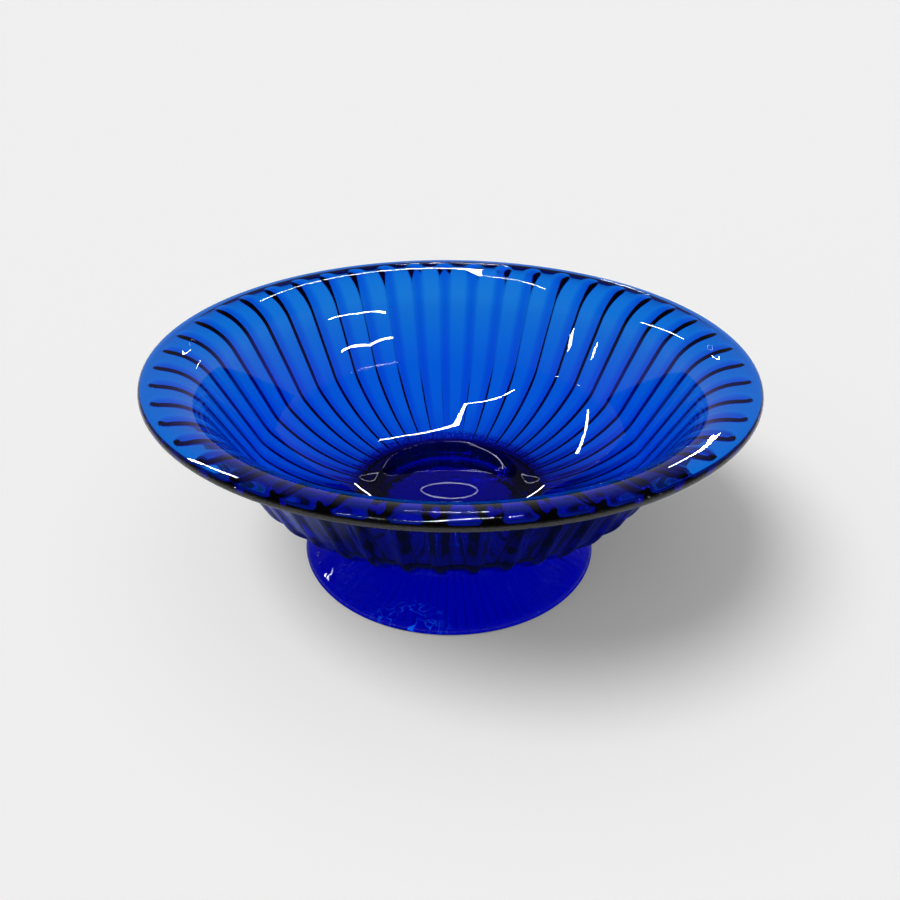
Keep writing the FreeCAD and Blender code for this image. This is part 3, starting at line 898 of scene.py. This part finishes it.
# %% Where the lamps hang
LAMPS = {  # a width and the points of the ribbon's middle, in metres
    "over_the_table": (
        0.024,
        [(0.21, 1.05, 1.25), (0.07, 1.04, 1.29), (-0.02, 0.85, 1.42), (-0.06, 0.56, 1.56),
         (-0.11, 0.31, 1.62), (-0.32, 0.22, 1.60), (-0.59, 0.02, 1.52)],
    ),
    "far_left": (0.026, [(-0.99, 0.69, 1.07), (-0.76, 0.98, 1.05), (-0.51, 1.19, 0.98)]),
    "near_right_high": (0.007, [(1.27, -0.31, 0.89), (1.06, -0.65, 0.97), (0.79, -0.91, 1.02)]),
    "near_right_low": (0.006, [(1.28, -0.38, 0.82), (1.04, -0.74, 0.91), (0.77, -0.96, 0.97)]),
    "left_high": (0.03, [(-1.28, -0.31, 0.86), (-1.31, -0.28, 0.81)]),
    "left_low": (0.025, [(-1.38, 0.07, 0.74), (-1.40, 0.09, 0.70)]),
    "far_right": (0.007, [(0.34, 1.43, 0.52), (0.40, 1.40, 0.62), (0.42, 1.40, 0.65)]),
    "far_bow": (
        0.008,
        [(-0.097, 1.405, 0.881), (-0.05, 1.443, 0.881), (0, 1.455, 0.881), (0.05, 1.443, 0.881),
         (0.097, 1.405, 0.881)],
    ),
}
turn = np.linspace(0, 2 * math.pi, 25)
RING_HALF = np.array([0.07, 0.015, 0.013])
RING_MIDDLE = np.array([0, 1.325, 0.917])
ring_line = RING_MIDDLE + RING_HALF * np.stack([np.cos(turn), -np.sin(turn), np.sin(turn)], axis=1)
FAINT_LAMPS = {"far_ring": (0.0026, ring_line)}
print("lamps:", ", ".join([*LAMPS, *FAINT_LAMPS]))


# %% Hang the lamps
def ribbon(width, line):
    """Two points for each point of the line, half the width to either side: along the cross product
    of the line's own direction and the direction to the bowl."""
    line = np.array(line)
    across = np.cross(np.gradient(line, axis=0), line)
    across *= width / 2 / np.linalg.norm(across, axis=1, keepdims=True)
    return np.stack([line - across, line + across], axis=1).reshape(-1, 3)


def hang_lamps(name, lamps, strength):
    """All the ribbons of one brightness as one mesh, seen only in mirrored rays."""
    strips = [ribbon(width, line) for width, line in lamps.values()]
    firsts = np.cumsum([0] + [len(strip) for strip in strips[:-1]])
    steps = [first + np.arange(0, len(strip) - 2, 2) for first, strip in zip(firsts, strips)]
    faces = np.concatenate(steps)[:, None] + np.array([0, 1, 3, 2])
    mesh = bpy.data.meshes.new(name)
    mesh.from_pydata(np.concatenate(strips).tolist(), [], faces.tolist())
    hung = bpy.data.objects.new(name, mesh)
    bpy.context.scene.collection.objects.link(hung)
    material = bpy.data.materials.new(name + "_glow")
    material.use_nodes = True
    tree = material.node_tree
    glow = new_node(tree, "ShaderNodeEmission", {"Strength": strength})
    wire(tree, (glow, "Emission", tree.nodes["Material Output"], "Surface"))
    tree.nodes.remove(tree.nodes["Principled BSDF"])
    mesh.materials.append(material)
    hung.visible_camera = False
    hung.visible_diffuse = False
    hung.visible_transmission = False
    hung.visible_shadow = False
    print(name, "ribbons", len(lamps), "faces", len(faces))


hang_lamps("thin_lamps", LAMPS, 45.0)
hang_lamps("faint_lamps", FAINT_LAMPS, 4.0)

# %% [markdown]
# ## The camera
#
# The camera looks down at the bowl from the front, as someone does who holds it over a table, about
# three rim radii away. It leans a little over half a degree to one side.

# %% Set up the camera
CAMERA_BACK = 2.463 * RIM_RADIUS
CAMERA_UP = 1.851 * RIM_RADIUS
CAMERA_PITCH = math.radians(30.65)
CAMERA_ROLL = math.radians(0.57)
camera_data = bpy.data.cameras.new("camera")
camera_data.sensor_width = 36
camera_data.lens = 31.68
camera_data.clip_start = 0.01
camera = bpy.data.objects.new("camera", camera_data)
camera.location = (0, -CAMERA_BACK, CAMERA_UP)
tilt = Matrix.Rotation(math.pi / 2 - CAMERA_PITCH, 4, "X") @ Matrix.Rotation(CAMERA_ROLL, 4, "Z")
camera.rotation_euler = tilt.to_euler()
scene = bpy.context.scene
scene.collection.objects.link(camera)
scene.camera = camera
print("camera at", [round(v, 4) for v in camera.location])

# %% [markdown]
# ## How light travels
#
# Light crosses many faces of glass before it comes out, so rays may bounce more often than usual.
# Caustics are off, because their work is done by the floor's paint.

# %% Set the bounces
LIGHT_BOUNCES = 16
scene.view_settings.view_transform = "Standard"
scene.cycles.max_bounces = LIGHT_BOUNCES
scene.cycles.transmission_bounces = LIGHT_BOUNCES
scene.cycles.caustics_refractive = False
scene.cycles.caustics_reflective = False
print("bounces:", LIGHT_BOUNCES)
